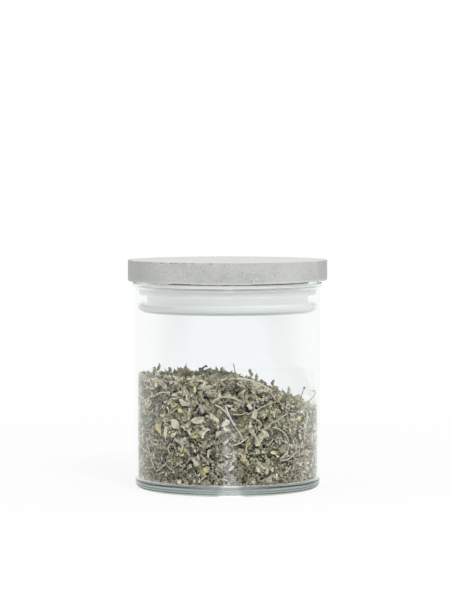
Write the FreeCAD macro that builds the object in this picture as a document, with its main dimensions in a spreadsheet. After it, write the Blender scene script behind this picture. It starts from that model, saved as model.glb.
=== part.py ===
import FreeCAD, Part
import math
import os

import Sketcher

# Herb keeper: a glass cylinder jar, a cast lid on a flanged spigot, a silicone seal sleeve and the dried herb.
# Lengths are in millimetres. The jar's foot stands on z = 0 and every piece is turned about the Z axis.

doc = FreeCAD.newDocument("HerbKeeper")

drivingSizes = {
    # Jar
    "jarRadius": 50.0,
    "jarHeight": 110.9,
    "wallThickness": 1.4,
    "floorHeight": 5.2,
    "heelRound": 4.6,
    "floorBevel": 2.6,
    "rimReach": 1.7,
    "rimRound": 1.2,
    "rimBand": 0.6,
    "rimShoulder": 1.3,
    "rimBevel": 0.7,
    "footWidth": 2.4,
    "puntRise": 1.6,
    # Lid
    "lidOverhang": 3.8,
    "lidThickness": 11.5,
    "lidGap": 0.5,
    "lidArris": 0.4,
    "spigotInset": 7.0,
    "spigotHeight": 15.2,
    "flangeHeight": 1.3,
    "flangeReach": 1.3,
    "flangeBevel": 0.4,
    # Seal
    "sealSlack": 0.05,
    "collarThickness": 2.25,
    "collarHeight": 4.0,
    "webThickness": 1.95,
    "upperLipClearance": 0.5,
    "upperLipHeight": 2.9,
    "lowerLipClearance": 0.2,
    "lowerLipHeight": 2.4,
    "lipDraft": 0.4,
    "lipBevel": 0.6,
    "webHeight": 4.7,
    "noseInset": 3.4,
    # Herb
    "herbClearance": 0.3,
    "herbDepth": 57.0,
    "herbFall": 19.6,
    "herbLevelReach": 2.0,
    "tuftStand": 3.1,
    "tuftPitch": 9.9,
}

sizes = doc.addObject("Spreadsheet::Sheet", "Sizes")
for row, (alias, length) in enumerate(drivingSizes.items(), start=1):
    sizes.set(f"A{row}", alias)
    sizes.set(f"B{row}", str(length))
    sizes.setAlias(f"B{row}", alias)
doc.recompute()


class Size:
    """A length together with the spreadsheet formula that gives it."""

    def __init__(self, value, formula):
        self.value = value
        self.formula = formula

    def __add__(self, other):
        return Size(self.value + other.value, f"({self.formula} + {other.formula})")

    def __sub__(self, other):
        return Size(self.value - other.value, f"({self.formula} - {other.formula})")


def size(alias):
    return Size(float(sizes.get(alias)), f"Sizes.{alias}")


zero = Size(0.0, "0")


def bindTo(sketch, constraint, length):
    index = sketch.addConstraint(constraint)
    sketch.setExpression(f"Constraints[{index}]", length.formula)


def pin(sketch, geometry, end, x, z):
    """Hold one end of a line at a place given by two sizes, or on an axis where a size is zero."""
    if x is zero:
        sketch.addConstraint(Sketcher.Constraint("PointOnObject", geometry, end, -2))
    else:
        bindTo(sketch, Sketcher.Constraint("DistanceX", -1, 1, geometry, end, x.value), x)
    if z is zero:
        sketch.addConstraint(Sketcher.Constraint("PointOnObject", geometry, end, -1))
    else:
        bindTo(sketch, Sketcher.Constraint("DistanceY", -1, 1, geometry, end, z.value), z)


def outline(body, name, corners):
    """Closed sketch on the XZ plane, with a straight side from each (x, z) corner to the next."""
    sketch = body.newObject("Sketcher::SketchObject", name)
    plane = next(f for f in body.Origin.OriginFeatures if f.Role == "XZ_Plane")
    sketch.AttachmentSupport = (plane, "")
    sketch.MapMode = "FlatFace"
    for corner, following in zip(corners, corners[1:] + corners[:1]):
        here = FreeCAD.Vector(corner[0].value, corner[1].value, 0)
        there = FreeCAD.Vector(following[0].value, following[1].value, 0)
        sketch.addGeometry(Part.LineSegment(here, there), False)
    for index, corner in enumerate(corners):
        before = (index - 1) % len(corners)
        sketch.addConstraint(Sketcher.Constraint("Coincident", before, 2, index, 1))
        pin(sketch, index, 1, corner[0], corner[1])
    return sketch


def turned(label, corners):
    """Body made by turning an outline once about the Z axis."""
    body = doc.addObject("PartDesign::Body", label)
    body.Label = label
    sketch = outline(body, f"{label}_outline", corners)
    solid = body.newObject("PartDesign::Revolution", f"{label}_turned")
    solid.Profile = sketch
    solid.ReferenceAxis = (sketch, ["V_Axis"])
    solid.Angle = 360
    doc.recompute()
    body.Tip = solid
    return body


def dressRings(body, name, treatment, rings, length):
    """Fillet or Chamfer, by length, the circular edges that have the given (radius, height) pairs."""
    base = body.Tip
    edges = []
    for ringRadius, height in rings:
        for number, edge in enumerate(base.Shape.Edges, start=1):
            if edge.Degenerated or not isinstance(edge.Curve, Part.Circle):
                continue
            sameRadius = abs(edge.Curve.Radius - ringRadius.value) < 1e-4
            if sameRadius and abs(edge.Curve.Center.z - height.value) < 1e-4:
                edges.append(f"Edge{number}")
    dressed = body.newObject(f"PartDesign::{treatment}", name)
    dressed.Base = (base, edges)
    dressed.setExpression("Radius" if treatment == "Fillet" else "Size", length.formula)
    doc.recompute()
    body.Tip = dressed


jarRadius = size("jarRadius")
jarHeight = size("jarHeight")
floorHeight = size("floorHeight")
boreRadius = jarRadius - size("wallThickness")


def makeJar():
    """Straight glass wall with a rim bead that stands out, a round heel and a foot ring about a shallow punt."""
    rimRadius = jarRadius + size("rimReach")
    rimBandFoot = jarHeight - size("rimRound") - size("rimBand")
    footInner = jarRadius - size("heelRound") - size("footWidth")
    puntRise = size("puntRise")
    jar = turned(
        "glass_jar",
        [
            (zero, floorHeight),
            (zero, puntRise),
            (footInner - puntRise, puntRise),
            (footInner, zero),
            (jarRadius, zero),
            (jarRadius, rimBandFoot - size("rimShoulder")),
            (rimRadius, rimBandFoot),
            (rimRadius, jarHeight),
            (boreRadius, jarHeight),
            (boreRadius, floorHeight),
        ],
    )
    dressRings(jar, "heel", "Fillet", [(jarRadius, zero)], size("heelRound"))
    dressRings(jar, "rim_bead", "Chamfer", [(rimRadius, jarHeight)], size("rimRound"))
    dressRings(jar, "rim_inner_edge", "Chamfer", [(boreRadius, jarHeight)], size("rimBevel"))
    dressRings(jar, "floor_corner", "Chamfer", [(boreRadius, floorHeight)], size("floorBevel"))
    return jar


lidUnderside = jarHeight + size("lidGap")
spigotRadius = boreRadius - size("spigotInset")
flangeTop = lidUnderside - size("spigotHeight")
plugFoot = flangeTop - size("flangeHeight")
flangeRadius = spigotRadius + size("flangeReach")


def makeLid():
    """Cast disc with a plain spigot under it, and at the spigot's foot a small flange that retains the seal."""
    lidRadius = jarRadius + size("lidOverhang")
    lidTop = lidUnderside + size("lidThickness")
    lid = turned(
        "lid_disc",
        [
            (zero, plugFoot),
            (flangeRadius, plugFoot),
            (flangeRadius, flangeTop),
            (spigotRadius, flangeTop),
            (spigotRadius, lidUnderside),
            (lidRadius, lidUnderside),
            (lidRadius, lidTop),
            (zero, lidTop),
        ],
    )
    discEdges = [(lidRadius, lidUnderside), (lidRadius, lidTop)]
    dressRings(lid, "disc_arrises", "Chamfer", discEdges, size("lidArris"))
    dressRings(lid, "flange_edge", "Chamfer", [(flangeRadius, plugFoot)], size("flangeBevel"))
    return lid


def makeSeal():
    """Silicone sleeve on the spigot: collar, upper lip, plain web, and a lower lip with a tapered nose."""
    slack = size("sealSlack")
    sealBore = spigotRadius + slack
    sealTop = lidUnderside - slack
    collarRadius = sealBore + size("collarThickness")
    webRadius = sealBore + size("webThickness")
    upperTip = boreRadius - size("upperLipClearance")
    lowerTip = boreRadius - size("lowerLipClearance")
    upperTipTop = sealTop - size("collarHeight")
    upperTipFoot = upperTipTop - size("upperLipHeight")
    webTop = upperTipFoot - size("lipDraft")
    webFoot = webTop - size("webHeight")
    lowerTipTop = webFoot - size("lipDraft")
    lowerTipFoot = lowerTipTop - size("lowerLipHeight")
    noseRadius = boreRadius - size("noseInset")
    seal = turned(
        "seal_ring",
        [
            (sealBore, sealTop),
            (sealBore, flangeTop + slack),
            (flangeRadius + slack, flangeTop + slack),
            (flangeRadius + slack, plugFoot),
            (noseRadius, plugFoot),
            (lowerTip, lowerTipFoot),
            (lowerTip, lowerTipTop),
            (webRadius, webFoot),
            (webRadius, webTop),
            (upperTip, upperTipFoot),
            (upperTip, upperTipTop),
            (collarRadius, upperTipTop),
            (collarRadius, sealTop),
        ],
    )
    tips = [
        (upperTip, upperTipTop),
        (upperTip, upperTipFoot),
        (lowerTip, lowerTipTop),
        (lowerTip, lowerTipFoot),
    ]
    dressRings(seal, "lip_edges", "Chamfer", tips, size("lipBevel"))
    return seal


def makeHerb():
    """Loose dried herb as one solid of tufts: level over the left and middle, falling straight to the right wall.
    The wall and the heap are cells one tuftPitch wide. Each cell's four corners lie tuftStand deep, and its
    middle stands out, moved within the cell by the golden angle, so that no two neighbours lean alike."""
    outerRadius = boreRadius.value - size("herbClearance").value
    stand = size("tuftStand").value
    pitch = size("tuftPitch").value
    foot = floorHeight.value
    depth = size("herbDepth").value
    fall = size("herbFall").value
    levelReach = size("herbLevelReach").value
    packedRadius = outerRadius - stand
    overhang = packedRadius - levelReach
    golden = math.pi * (3 - math.sqrt(5))
    columns = round(2 * math.pi * packedRadius / pitch)
    rows = round(depth / pitch)
    rings = round(packedRadius / pitch)

    def heapHeight(x):
        along = min(max(x - levelReach, 0), overhang)
        return foot + depth - stand - fall * along / overhang

    def place(column, row, out):
        """Point by its column about Z and its row: up the wall from 0 to rows, then inwards over the heap."""
        about = 2 * math.pi * column / columns
        reach = packedRadius * min(1, 1 - (row - rows) / rings)
        if row <= rows:
            reach += stand * out
        x = reach * math.sin(about)
        edge = heapHeight(packedRadius * math.sin(about))
        height = foot + (edge - foot) * row / rows
        if row > rows:
            height = heapHeight(x) + stand * out
        return FreeCAD.Vector(x, -reach * math.cos(about), height)

    def facet(*corners):
        return Part.Face(Part.makePolygon([*corners, corners[0]]))

    middle = FreeCAD.Vector(0, 0, heapHeight(0))
    ground = FreeCAD.Vector(0, 0, foot)
    facets = []
    for column in range(columns):
        following = (column + 1) % columns
        facets.append(facet(ground, place(following, 0, 0), place(column, 0, 0)))
        for row in range(rows + rings - 1):
            turn = golden * len(facets)
            lean = (0.5 + 0.25 * math.cos(turn), 0.5 + 0.25 * math.sin(turn))
            tip = place(column + lean[0], row + lean[1], 0.85 + 0.15 * math.cos(2 * turn))
            corners = [
                place(column, row, 0),
                place(following, row, 0),
                place(following, row + 1, 0),
                place(column, row + 1, 0),
            ]
            for start, end in zip(corners, corners[1:] + corners[:1]):
                facets.append(facet(start, end, tip))
        last = rows + rings - 1
        facets.append(facet(place(column, last, 0), place(following, last, 0), middle))

    shell = Part.makeShell(facets)
    shell.sewShape()
    herb = doc.addObject("Part::Feature", "herb_fill")
    herb.Label = "herb_fill"
    herb.Shape = Part.makeSolid(shell)
    return herb


pieces = [makeJar(), makeLid(), makeSeal(), makeHerb()]
doc.recompute()

for item in doc.Objects:
    if "Invalid" in item.State or "Error" in item.State:
        raise RuntimeError(f"{item.Label} failed: {item.State}")

os.makedirs("parts", exist_ok=True)
for piece in pieces:
    piece.Placement = FreeCAD.Placement()
    if piece.Shape.isNull() or not piece.Shape.isValid() or len(piece.Shape.Solids) != 1:
        raise RuntimeError(f"{piece.Label} is not one valid solid")
    piece.Shape.exportStep(f"parts/{piece.Label}.step")
    print(piece.Label, round(piece.Shape.Volume / 1000, 2), "cm3")
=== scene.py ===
import math

import bpy
import numpy as np
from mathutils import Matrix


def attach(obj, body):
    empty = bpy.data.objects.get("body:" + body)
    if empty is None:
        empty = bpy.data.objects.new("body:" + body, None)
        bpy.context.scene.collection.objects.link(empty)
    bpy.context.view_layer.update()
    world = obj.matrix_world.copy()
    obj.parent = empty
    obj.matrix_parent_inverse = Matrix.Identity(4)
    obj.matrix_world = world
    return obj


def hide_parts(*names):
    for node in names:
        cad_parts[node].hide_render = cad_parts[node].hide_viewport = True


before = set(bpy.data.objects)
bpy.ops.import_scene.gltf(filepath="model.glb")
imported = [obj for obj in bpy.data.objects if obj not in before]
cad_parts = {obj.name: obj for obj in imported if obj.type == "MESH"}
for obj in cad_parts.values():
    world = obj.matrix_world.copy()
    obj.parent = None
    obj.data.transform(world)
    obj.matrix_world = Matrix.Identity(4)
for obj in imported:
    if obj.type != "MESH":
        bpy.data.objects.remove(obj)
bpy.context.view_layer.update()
print("frame loaded:", sorted(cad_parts))

mm = 0.001
rng = np.random.default_rng(8140)


# meshes: every piece is worked out in millimetres and written to its mesh in metres


def addMesh(name, points, faceSets, body, node, smooth=True):
    # Piece from an (n, 3) array of points and index arrays. Faces in one array have as many corners each.
    mesh = bpy.data.meshes.new(name)
    mesh.vertices.add(len(points))
    mesh.vertices.foreach_set("co", (np.asarray(points) * mm).astype(np.float32).ravel())
    corners = np.concatenate([faces.ravel() for faces in faceSets])
    totals = np.concatenate([np.full(len(faces), faces.shape[1]) for faces in faceSets])
    mesh.loops.add(len(corners))
    mesh.loops.foreach_set("vertex_index", corners.astype(np.int32))
    mesh.polygons.add(len(totals))
    mesh.polygons.foreach_set("loop_start", (np.cumsum(totals) - totals).astype(np.int32))
    mesh.polygons.foreach_set("use_smooth", np.full(len(totals), smooth))
    mesh.update(calc_edges=True)
    piece = bpy.data.objects.new(name, mesh)
    bpy.context.scene.collection.objects.link(piece)
    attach(piece, body)
    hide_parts(node)
    return piece


def addValues(piece, name, values, kind="FLOAT", field="value"):
    # One value or colour for each vertex.
    attribute = piece.data.attributes.new(name, kind, "POINT")
    attribute.data.foreach_set(field, np.asarray(values, dtype=np.float32).ravel())


def addUv(piece, name, uv):
    # UV map read from one (u, v) pair for each vertex.
    corner = np.empty(len(piece.data.loops), dtype=np.int32)
    piece.data.loops.foreach_get("vertex_index", corner)
    layer = piece.data.uv_layers.new(name=name)
    layer.data.foreach_set("uv", np.asarray(uv, dtype=np.float32)[corner].ravel())


def smoothStep(low, high, value):
    # 3t^2 - 2t^3, where t goes from 0 at low to 1 at high.
    t = np.clip((value - low) / (high - low), 0.0, 1.0)
    return t * t * (3.0 - 2.0 * t)


def section(corners, closed=False):
    # Line through (radius, height, round, step) corners: each corner becomes the arc that touches both its
    # sides, and each straight run is cut into steps, with a short one at either end that keeps it flat.
    places = np.array([corner[:2] for corner in corners], dtype=float)
    count = len(corners)
    line = []
    for index in range(count):
        here = places[index]
        arc = [here]
        inside = closed or 0 < index < count - 1
        if inside and corners[index][2] > 0:
            back = places[index - 1] - here
            ahead = places[(index + 1) % count] - here
            back = back / np.linalg.norm(back)
            ahead = ahead / np.linalg.norm(ahead)
            half = math.acos(np.clip(back @ ahead, -1, 1)) / 2
            bisector = (back + ahead) / np.linalg.norm(back + ahead)
            centre = here + bisector * corners[index][2] / math.sin(half)
            start = here + back * corners[index][2] / math.tan(half) - centre
            end = here + ahead * corners[index][2] / math.tan(half) - centre
            turn = math.pi - 2 * half
            if start[0] * end[1] - start[1] * end[0] < 0:
                turn = -turn
            angles = np.linspace(0, turn, max(3, int(abs(turn) / 0.2) + 2))
            across = np.array([-start[1], start[0]])
            arc = [centre + (start * math.cos(t) + across * math.sin(t)) for t in angles]
        if line:
            line += run(line[-1], arc[0], corners[index - 1][3])
        line += arc
    if closed:
        line += run(line[-1], line[0], corners[-1][3])
    return np.array(line)


def run(start, end, step):
    # Points between two ends, a tenth of a step in from each end and evenly between.
    length = np.linalg.norm(end - start)
    if length < step * 0.6:
        return []
    inner = np.linspace(0.1 * step, length - 0.1 * step, max(2, int(length / step) + 1)) / length
    return [start + (end - start) * t for t in inner]


def bands(ring, above, step, segments):
    # Quads between the points of each ring and the ring above it, closed round.
    beyond = (step + 1) % segments
    low, high = ring * segments, above * segments
    return np.stack([low + step, low + beyond, high + beyond, high + step], axis=-1).reshape(-1, 4)


def turned(line, segments, closed=False):
    # Surface of revolution (r cos a, r sin a, z) of a line of (r, z) points. An end on the axis is one pole.
    angle = np.arange(segments) * 2 * math.pi / segments
    poles = [] if closed else [end for end in (0, -1) if line[end][0] == 0]
    rings = line[1 if 0 in poles else 0 : len(line) - (1 if -1 in poles else 0)]
    radius = rings[:, :1]
    height = np.repeat(rings[:, 1:], segments, axis=1)
    points = np.stack([radius * np.cos(angle), radius * np.sin(angle), height], axis=-1).reshape(-1, 3)
    count = len(rings)
    ring, step = np.meshgrid(np.arange(count if closed else count - 1), np.arange(segments), indexing="ij")
    faceSets = [bands(ring, (ring + 1) % count, step, segments)]
    around = np.arange(segments)
    for end in poles:
        points = np.vstack([points, [[0, 0, line[end][1]]]])
        pole = np.full(segments, len(points) - 1)
        edge = around if end == 0 else around + (count - 1) * segments
        beyond = (around + 1) % segments + (0 if end == 0 else (count - 1) * segments)
        fan = [pole, beyond, edge] if end == 0 else [edge, beyond, pole]
        faceSets.append(np.stack(fan, axis=-1))
    return points, faceSets


def waves(points, lengths, count, seed):
    # Smooth unevenness between about -1 and 1: a sum of sines of k.p, with random directions and lengths.
    draw = np.random.default_rng(seed)
    way = draw.normal(size=(3, count))
    way /= np.linalg.norm(way, axis=0)
    way *= 2 * math.pi / draw.uniform(*lengths, size=count)
    return np.sin(points @ way + draw.uniform(0, 2 * math.pi, count)).sum(axis=-1) / math.sqrt(count)


def offFront(points):
    # Angle of each point about the axis, in degrees from the front.
    return np.degrees(np.arctan2(points[:, 0], -points[:, 1]))


# node helpers


def newMaterial(name):
    # Empty material, its node tree, and the place on the piece in object coordinates.
    material = bpy.data.materials.new(name)
    material.use_nodes = True
    tree = material.node_tree
    tree.nodes.clear()
    return material, tree, addNode(tree, "ShaderNodeTexCoord").outputs["Object"]


def addNode(tree, kind, inputs=None, **settings):
    # Node with its settings and inputs set. An input is a value, or a socket that is linked to it, and a
    # colour may be given without its alpha.
    node = tree.nodes.new(kind)
    for key, value in settings.items():
        setattr(node, key, value)
    for key, value in (inputs or {}).items():
        socket = node.inputs[key]
        if isinstance(value, bpy.types.NodeSocket):
            tree.links.new(value, socket)
        elif socket.type == "RGBA" and len(value) == 3:
            socket.default_value = (*value, 1)
        else:
            socket.default_value = value
    return node


def mixColours(tree, factor, first, second, blend="MIX"):
    inputs = {0: factor, 6: first, 7: second}
    return addNode(tree, "ShaderNodeMix", inputs, data_type="RGBA", blend_type=blend).outputs[2]


def compute(tree, operation, *values):
    return addNode(tree, "ShaderNodeMath", dict(enumerate(values)), operation=operation).outputs[0]


def times(tree, first, *others):
    for other in others:
        first = compute(tree, "MULTIPLY", first, other)
    return first


def gap(tree, first, second):
    # |first - second|
    return compute(tree, "ABSOLUTE", compute(tree, "SUBTRACT", first, second))


def lengthOf(tree, vector):
    return addNode(tree, "ShaderNodeVectorMath", {0: vector}, operation="LENGTH").outputs["Value"]


def axesOf(tree, vector):
    return addNode(tree, "ShaderNodeSeparateXYZ", {0: vector}).outputs


def channelsOf(tree, colour):
    return addNode(tree, "ShaderNodeSeparateColor", {0: colour}).outputs


def reading(tree, name, output="Fac"):
    # What the piece's vertices hold under this name.
    return addNode(tree, "ShaderNodeAttribute", attribute_name=name).outputs[output]


def mixShaders(tree, factor, first, second):
    return addNode(tree, "ShaderNodeMixShader", {0: factor, 1: first, 2: second}).outputs[0]


def spread(tree, value, low, high, first=0.0, last=1.0):
    # Value taken from low..high to first..last and held there.
    node = addNode(tree, "ShaderNodeMapRange", {0: value, 1: low, 2: high, 3: first, 4: last})
    return node.outputs[0]


def ramp(tree, value, stops, interpolation="LINEAR"):
    node = addNode(tree, "ShaderNodeValToRGB", {0: value})
    node.color_ramp.interpolation = interpolation
    while len(node.color_ramp.elements) < len(stops):
        node.color_ramp.elements.new(0.5)
    for element, (place, colour) in zip(node.color_ramp.elements, stops):
        element.position = place
        element.color = (*colour, 1)
    return node.outputs[0]


def bumped(tree, height, strength, distance):
    inputs = {"Height": height, "Strength": strength, "Distance": distance}
    return addNode(tree, "ShaderNodeBump", inputs).outputs[0]


def principled(tree, colour, roughness, normal, others):
    # Principled surface from what every finish gives and what only some do.
    inputs = {"Base Color": colour, "Roughness": roughness, "Normal": normal, **others}
    return addNode(tree, "ShaderNodeBsdfPrincipled", inputs).outputs[0]


def finish(tree, shader):
    addNode(tree, "ShaderNodeOutputMaterial", {"Surface": shader})


def makeGrain():
    # Shared grain: fine noise at one scale over broad noise at another, as one 0..1 mask. Mask = 0.5 + fine
    # part * (fine - 0.5) + broad part * (broad - 0.5), and Broad is the broad noise alone.
    group = bpy.data.node_groups.new("grain", "ShaderNodeTree")
    for name, kind, value in (
        ("Vector", "NodeSocketVector", None),
        ("Fine Scale", "NodeSocketFloat", 900.0),
        ("Broad Scale", "NodeSocketFloat", 60.0),
        ("Fine Part", "NodeSocketFloat", 0.8),
        ("Broad Part", "NodeSocketFloat", 0.8),
    ):
        socket = group.interface.new_socket(name=name, in_out="INPUT", socket_type=kind)
        if value is not None:
            socket.default_value = value
    for name in ("Mask", "Broad"):
        group.interface.new_socket(name=name, in_out="OUTPUT", socket_type="NodeSocketFloat")
    given = group.nodes.new("NodeGroupInput").outputs
    fine = addNode(group, "ShaderNodeTexNoise", {"Vector": given[0], "Scale": given[1], "Detail": 4.0})
    broad = addNode(group, "ShaderNodeTexNoise", {"Vector": given[0], "Scale": given[2], "Detail": 3.0})
    finePart = times(group, compute(group, "SUBTRACT", fine.outputs[0], 0.5), given[3])
    broadPart = times(group, compute(group, "SUBTRACT", broad.outputs[0], 0.5), given[4])
    total = compute(group, "ADD", compute(group, "ADD", finePart, broadPart), 0.5)
    taken = group.nodes.new("NodeGroupOutput").inputs
    group.links.new(total, taken[0])
    group.links.new(broad.outputs[0], taken[1])
    return group


grainGroup = makeGrain()


def grain(tree, vector, fineScale, broadScale, finePart=0.8, broadPart=0.8):
    values = {0: vector, 1: fineScale, 2: broadScale, 3: finePart, 4: broadPart}
    return addNode(tree, "ShaderNodeGroup", values, node_tree=grainGroup).outputs


# camera, floor and light

studio = {
    "cameraPlace": (-0.0014, -1.4, 0.171),
    "cameraTilt": 2.859,  # degrees down
    "lens": 155.6,
    "sideLevel": 0.5,  # soft light from the horizon
    "topLevel": 0.42,  # what it gains towards the zenith
    "frontDark": 0.13,  # how much of the room in front the glass mirrors
    "softbox": 4.0,  # what the glass mirrors from above the front
    "keyPlace": (0.36, -0.95, 1.2),
    "keySize": 0.4,
    "keyPower": 9.5,
    "floorShade": 0.88,
    "seenThrough": 0.8,  # how bright the floor under the jar stays where it is seen through glass
    "floorSeen": 0.86,  # the same where the camera sees it
    "roomThrough": (1.02, 1.035, 1.04),  # the room through the glass
    "floorBehind": (1.045, 1.07, 1.077),  # the floor through the glass, in the middle and beside the jar
    "floorBeside": (0.99, 1.0, 0.99),
    "strip": (5.0, 4.9, 5.3),  # bright strip of the floor in front that the wall mirrors
    "floorHalf": 6.0,
}


def makeCamera():
    data = bpy.data.cameras.new("camera")
    data.lens = studio["lens"]
    data.clip_start = 0.01
    camera = bpy.data.objects.new("camera", data)
    camera.location = studio["cameraPlace"]
    camera.rotation_euler = (math.radians(90 - studio["cameraTilt"]), 0, 0)
    bpy.context.scene.collection.objects.link(camera)
    bpy.context.scene.camera = camera


def makeKey():
    data = bpy.data.lights.new("key", "AREA")
    data.size = studio["keySize"]
    data.energy = studio["keyPower"]
    key = bpy.data.objects.new("key", data)
    key.location = studio["keyPlace"]
    toward = -np.array(studio["keyPlace"])
    tilt = math.acos(-toward[2] / np.linalg.norm(toward))
    key.rotation_euler = (tilt, 0, math.atan2(toward[1], toward[0]) - math.pi / 2)
    bpy.context.scene.collection.objects.link(key)


def makeRoom():
    # White to the camera, slightly over white through glass, soft light elsewhere. What glass mirrors is dark
    # in front, with a softbox above.
    world = bpy.data.worlds.new("room")
    bpy.context.scene.world = world
    world.use_nodes = True
    tree = world.node_tree
    tree.nodes.clear()
    lightPath = addNode(tree, "ShaderNodeLightPath").outputs
    way = axesOf(tree, addNode(tree, "ShaderNodeTexCoord").outputs["Generated"])
    behind = spread(tree, way["Y"], -0.5, 0.35, studio["frontDark"], 1.0)
    ahead = spread(tree, way["Y"], -0.6, -0.4, studio["softbox"], 0.0)
    behind = compute(tree, "MAXIMUM", behind, times(tree, spread(tree, way["Z"], 0.1, 0.2), ahead))
    soft = spread(tree, way["Z"], 0, 1, studio["sideLevel"], studio["sideLevel"] + studio["topLevel"])
    level = mixColours(tree, lightPath["Is Glossy Ray"], soft, behind)
    level = mixColours(tree, lightPath["Is Transmission Ray"], level, studio["roomThrough"])
    level = mixColours(tree, lightPath["Is Camera Ray"], level, (1, 1, 1))
    background = addNode(tree, "ShaderNodeBackground", {"Color": level, "Strength": 1.0})
    addNode(tree, "ShaderNodeOutputWorld", {"Surface": background.outputs[0]})


def makeFloor():
    # Pale paper that takes the object's shadow. It glows white to the camera and through glass, and its
    # mirror image in the wall is dark in front but for one patchy bright strip.
    mesh = bpy.data.meshes.new("floor")
    half = studio["floorHalf"]
    corners = [(-half, -half, 0), (half, -half, 0), (half, half, 0), (-half, half, 0)]
    mesh.from_pydata(corners, [], [(0, 1, 2, 3)])
    floor = bpy.data.objects.new("floor", mesh)
    bpy.context.scene.collection.objects.link(floor)

    material, tree, place = newMaterial("whiteFloor")
    lightPath = addNode(tree, "ShaderNodeLightPath").outputs
    at = axesOf(tree, place)
    distance = lengthOf(tree, place)
    far = spread(tree, distance, 0.12, 0.6)
    front = spread(tree, compute(tree, "DIVIDE", at["Y"], distance), -0.5, 0.35, studio["frontDark"], 1.0)
    slope = compute(tree, "DIVIDE", at["X"], compute(tree, "MINIMUM", at["Y"], -0.03))
    patches = addNode(tree, "ShaderNodeTexNoise", {"Vector": place, "Scale": 16.0, "Detail": 2.0}).outputs[0]
    strip = times(
        tree,
        spread(tree, slope, -0.2, -0.12),
        spread(tree, slope, 0.05, 0.13, 1.0, 0.0),
        spread(tree, patches, 0.35, 0.65, 0.55, 1.0),
        spread(tree, distance, 0.34, 0.6, 1.0, 0.0),
        spread(tree, at["Y"], -0.05, -0.04, 1.0, 0.0),
    )
    mirrored = mixColours(tree, strip, front, studio["strip"])
    reflected = compute(tree, "GREATER_THAN", lightPath["Glossy Depth"], 0.5)
    mirror = times(tree, reflected, compute(tree, "SUBTRACT", 1.0, lightPath["Is Transmission Ray"]))
    aside = spread(tree, compute(tree, "ABSOLUTE", at["X"]), 0.045, 0.08)
    beyond = mixColours(tree, aside, studio["floorBehind"], studio["floorBeside"])
    beyond = mixColours(tree, reflected, beyond, front, "MULTIPLY")
    white = mixColours(tree, lightPath["Is Transmission Ray"], (1, 1, 1), beyond)
    camera = times(tree, lightPath["Is Camera Ray"], spread(tree, far, 0, 1, studio["floorSeen"], 1.0))
    through = spread(tree, far, 0, 1, studio["seenThrough"], 1.0)
    passed = times(tree, lightPath["Is Transmission Ray"], through)
    share = compute(tree, "MAXIMUM", compute(tree, "MAXIMUM", camera, passed), mirror)
    shade = mixColours(tree, mirror, white, mirrored)
    glow = addNode(tree, "ShaderNodeEmission", {"Color": shade, "Strength": 1.0})
    paper = addNode(tree, "ShaderNodeBsdfDiffuse", {"Color": (studio["floorShade"],) * 3})
    finish(tree, mixShaders(tree, share, paper.outputs[0], glow.outputs[0]))
    mesh.materials.append(material)


makeCamera()
makeKey()
makeRoom()
makeFloor()
bpy.context.scene.view_settings.view_transform = "Standard"
print("camera, floor and light made")


# jar

jar = {
    "radius": 50.0,
    "bore": 48.6,
    "height": 110.9,
    "rim": 51.7,
    "rimFoot": 107.8,
    "floor": 5.2,
    "punt": 1.6,
    "puntEdge": 41.4,
    "foot": 43.0,
    "heel": 3.3,
    "waviness": 0.035,
    "segments": 288,
    "tint": (0.992, 0.998, 1.0),
    "body": (0.5, 0.54, 0.51),  # what light turns to in the glass, at a density that is per metre
    "density": 14.5,
    # painted shade: dark rings round the heel that stand in for the dark refractions in the base
    "heelShadeRings": [(1.4, 0.6, 1.0), (2.7, 0.4, 0.9), (4.5, 0.9, 1.0)],  # height, half width, depth of shade
    "heelRingShade": (0.05, 0.08, 0.075),
    "ringsFrom": 44.5,  # radius outside which the rings are drawn
    "turnsNeeded": (0.1065, 0.107, 2.5, 0.5),  # two heights in metres, the turns needed below and above
    "passing": (0.98, 0.985, 0.98),  # for shadows and soft light
    "guided": (0.84, 0.92, 0.87),  # light that runs round inside the base and comes out after its third turn
    "ior": 1.47,
}


def makeJar():
    # Closed section turned about the axis. Between heel and rim the radius is drawn in by waviness * slow
    # waves wherever these are below 0.
    j = jar
    line = section(
        [
            (0, j["punt"], 0, 6.0),
            (j["puntEdge"], j["punt"], 1.2, 0.8),
            (j["foot"], 0, 0.9, 0.6),
            (j["radius"], 0, j["heel"], 2.2),
            (j["radius"], j["rimFoot"], 1.0, 0.5),
            (j["rim"], j["rimFoot"] + 1.3, 0.8, 0.3),
            (j["rim"], j["height"], 1.4, 0.3),
            (j["bore"], j["height"], 1.2, 2.2),
            (j["bore"], j["floor"], 1.2, 5.0),
            (0, j["floor"], 0, 1.0),
        ]
    )
    points, faceSets = turned(line, j["segments"])
    radius = np.hypot(points[:, 0], points[:, 1])
    uneven = waves(points, (18.0, 70.0), 10, 3) * j["waviness"] * smoothStep(4.0, 12.0, points[:, 2])
    uneven *= smoothStep(0.0, 3.0, j["rimFoot"] - points[:, 2])
    uneven = np.minimum(uneven, 0.0) * (radius > 20)
    points[:, :2] *= (1 + uneven / np.maximum(radius, 1))[:, None]
    return addMesh("jar_glass", points, faceSets, "jar", "glass_jar")


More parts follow.
